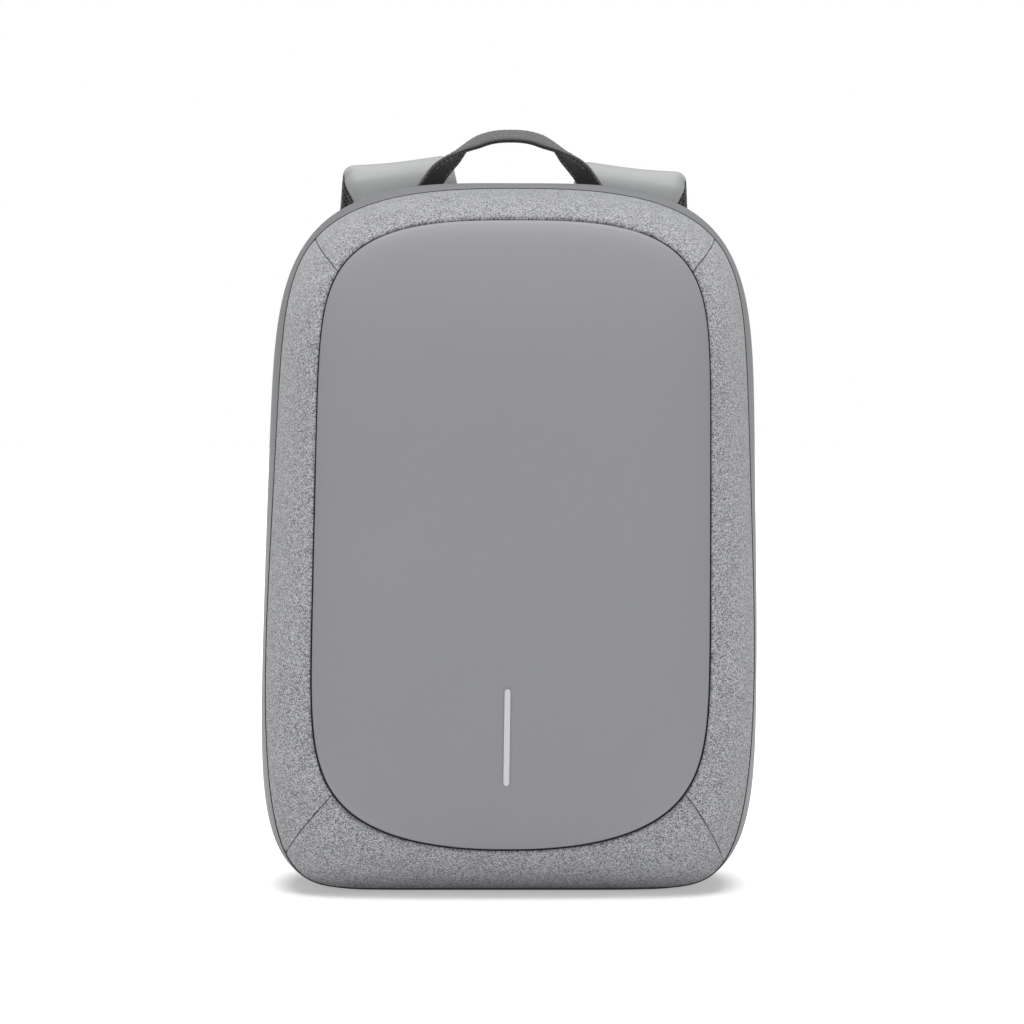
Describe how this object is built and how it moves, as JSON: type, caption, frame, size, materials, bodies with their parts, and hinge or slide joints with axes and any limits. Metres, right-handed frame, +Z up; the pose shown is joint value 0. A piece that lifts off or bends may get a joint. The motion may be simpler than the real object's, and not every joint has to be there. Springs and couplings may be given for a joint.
{
  "type": "anti theft backpack",
  "caption": "Upright soft-shell anti theft backpack with a smooth domed front panel, a mitred fabric frame, a rear zip, a carry handle and padded shoulder straps.",
  "frame": {"origin": "on the floor in the middle of the flat base of the side gusset", "axes": "+Z up, the front panel faces -Y, +X to the right of a viewer in front"},
  "size_m": [0.3173, 0.211, 0.4899],
  "materials": {
    "smooth_panel": "matt coated cloth over foam",
    "melange": "two-tone grey woven polyester",
    "smooth_gusset": "matt coated cloth",
    "smooth_strap": "matt coated cloth over foam",
    "air_mesh": "charcoal spacer mesh",
    "webbing": "woven grey webbing",
    "dark_trim": "dark zip tape and piping",
    "reflective": "pale reflective tape",
    "plastic": "satin moulded plastic"
  },
  "bodies": {
    "root": {"side_gusset": "smooth_gusset", "frame_right": "melange", "frame_top": "melange", "frame_left": "melange", "frame_bottom": "melange", "front_panel": "smooth_panel", "panel_piping": "dark_trim", "light_strip": "reflective", "rear_zip": "dark_trim", "zip_slider": "plastic", "back_panel": "air_mesh", "handle_cover": "webbing", "handle_lining": "air_mesh", "strap_cover_left": "smooth_strap", "strap_lining_left": "air_mesh", "strap_tab_left": "webbing", "adjuster_left": "plastic", "lower_webbing_left": "webbing", "anchor_tab_left": "smooth_gusset", "strap_cover_right": "smooth_strap", "strap_lining_right": "air_mesh", "strap_tab_right": "webbing", "adjuster_right": "plastic", "lower_webbing_right": "webbing", "anchor_tab_right": "smooth_gusset"}
  },
  "joints": []
}
